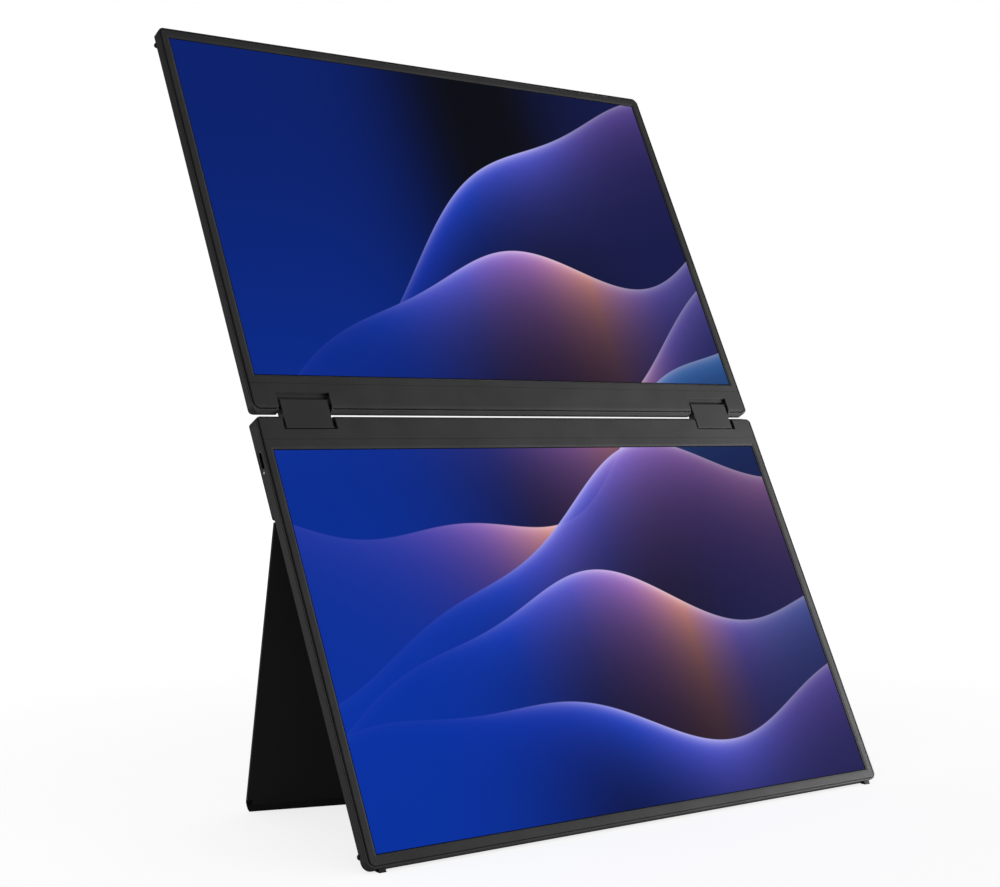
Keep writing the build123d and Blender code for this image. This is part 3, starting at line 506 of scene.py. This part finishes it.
def surroundings():
    """White surroundings: plain white to the eye, and as a light dim at the sides and brighter above."""
    world = bpy.data.worlds.new("studio")
    world.use_nodes = True
    tree = world.node_tree
    light = next(n for n in tree.nodes if n.type == "BACKGROUND")
    light.inputs["Color"].default_value = grey(1.0)
    direction = tree.nodes.new("ShaderNodeTexCoord")
    split = tree.nodes.new("ShaderNodeSeparateXYZ")
    strength = tree.nodes.new("ShaderNodeMapRange")
    for socket, value in zip(strength.inputs[1:5], (0.0, 1.0, LOW_FILL, HIGH_FILL)):
        socket.default_value = value
    tree.links.new(direction.outputs["Generated"], split.inputs[0])
    tree.links.new(split.outputs["Z"], strength.inputs["Value"])
    tree.links.new(strength.outputs[0], light.inputs["Strength"])
    backdrop = tree.nodes.new("ShaderNodeBackground")
    backdrop.inputs["Color"].default_value = grey(1.0)
    backdrop.inputs["Strength"].default_value = 1.0
    path = tree.nodes.new("ShaderNodeLightPath")
    both = tree.nodes.new("ShaderNodeMixShader")
    output = next(n for n in tree.nodes if n.type == "OUTPUT_WORLD")
    tree.links.new(path.outputs["Is Camera Ray"], both.inputs[0])
    tree.links.new(light.outputs[0], both.inputs[1])
    tree.links.new(backdrop.outputs[0], both.inputs[2])
    tree.links.new(both.outputs[0], output.inputs["Surface"])
    bpy.context.scene.world = world


def studio():
    """Floor, white surroundings and soft lights: close by at the lower right, behind, and at the left."""
    ground = floor()
    surroundings()
    key = area_light(
        "key",
        place=(0.36, -0.30, 0.06),
        aim=(0.10, -0.05, 0.10),
        size=(0.24, 0.10),
        power=8.0,
        mirrored=False,
    )
    back = area_light("back", place=(0.95, 1.25, 0.9), aim=(0, 0.1, 0.18), size=(1.6, 1.6), power=32.0)
    for lamp in (key, back):
        keep_off(lamp, ground)
    area_light("side", place=(-0.9, 0.45, 0.12), aim=(-0.15, 0, 0.1), size=(0.6, 0.3), power=1.0)


def camera():
    """Camera at the photograph's viewing angle."""
    data = bpy.data.cameras.new("camera")
    data.sensor_width = SENSOR_WIDTH
    data.lens = FOCAL_PIXELS / FRAME_WIDTH * SENSOR_WIDTH
    data.shift_x = CAMERA_SHIFT
    data.clip_start = NEAR_CLIP
    view = bpy.data.objects.new("camera", data)
    bpy.context.scene.collection.objects.link(view)
    view.location = CAMERA_PLACE
    view.rotation_euler = CAMERA_AIM.to_track_quat("-Z", "Y").to_euler()
    bpy.context.scene.camera = view


studio()
camera()
bpy.context.scene.view_settings.view_transform = "Standard"
